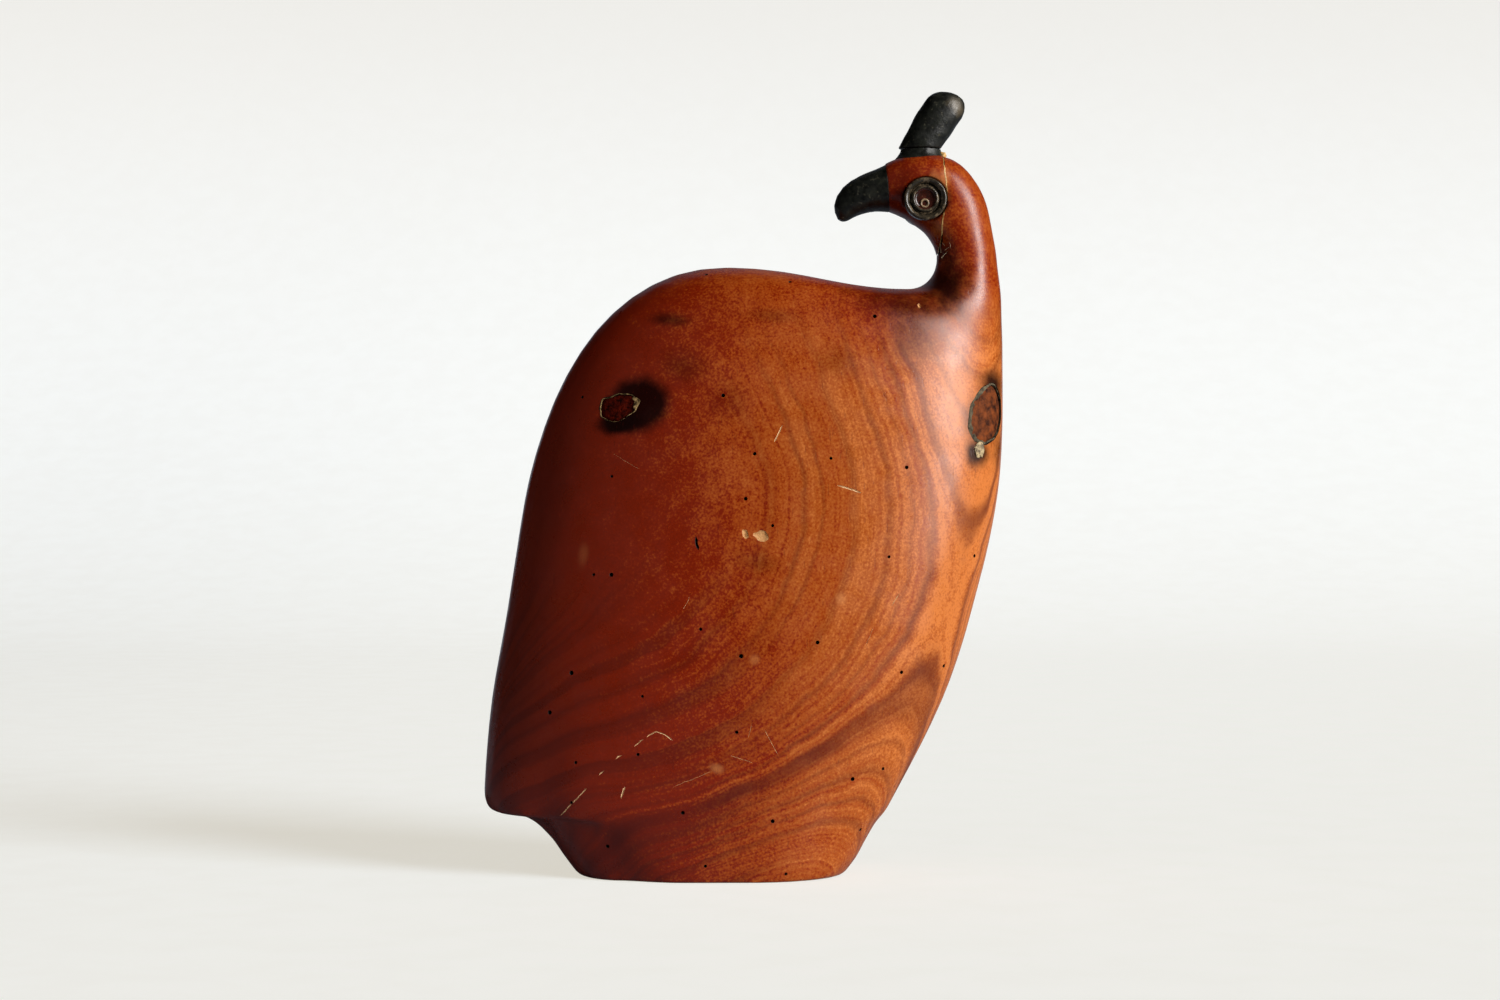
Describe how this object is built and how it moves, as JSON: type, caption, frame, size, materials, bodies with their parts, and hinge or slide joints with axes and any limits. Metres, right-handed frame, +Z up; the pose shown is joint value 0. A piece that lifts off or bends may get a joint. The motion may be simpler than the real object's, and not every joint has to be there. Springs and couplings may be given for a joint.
{
  "type": "carved bird figurine",
  "caption": "Solid carved wooden quail that stands on its flat base and looks back over its shoulder, with a black beak and plume, ringed eyes and a glued break behind the eye.",
  "frame": {"origin": "middle of the flat base, on the surface that the bird stands on", "axes": "+X towards the breast, -X towards the tail and the way the head looks, -Y towards the bird's side with the wing knot, +Z up"},
  "size_m": [0.1199, 0.0506, 0.18],
  "materials": {
    "oiled_wood": "oiled and rubbed, satin",
    "black_wood": "blackened, satin",
    "old_glue": "dried, pale amber",
    "eye_ring": "turned black horn, worn on its edges",
    "eye_iris": "turned dark red horn",
    "eye_pupil": "turned black horn, worn on its edges",
    "knot": "dead and checked, dull",
    "bark": "rough",
    "pitch": "hardened pitch, dull"
  },
  "bodies": {
    "root": {"body": "oiled_wood", "head_front": "oiled_wood", "head_glue": "old_glue", "topknot": "black_wood", "topknot_collar": "black_wood", "beak": "black_wood", "left_eye_ring": "eye_ring", "left_eye_iris": "eye_iris", "left_eye_pupil": "eye_pupil", "right_eye_ring": "eye_ring", "right_eye_iris": "eye_iris", "right_eye_pupil": "eye_pupil", "wing_knot": "knot", "wing_knot_bark": "bark", "breast_knot": "knot", "breast_knot_bark": "bark", "pitch_plug": "pitch"}
  },
  "joints": []
}
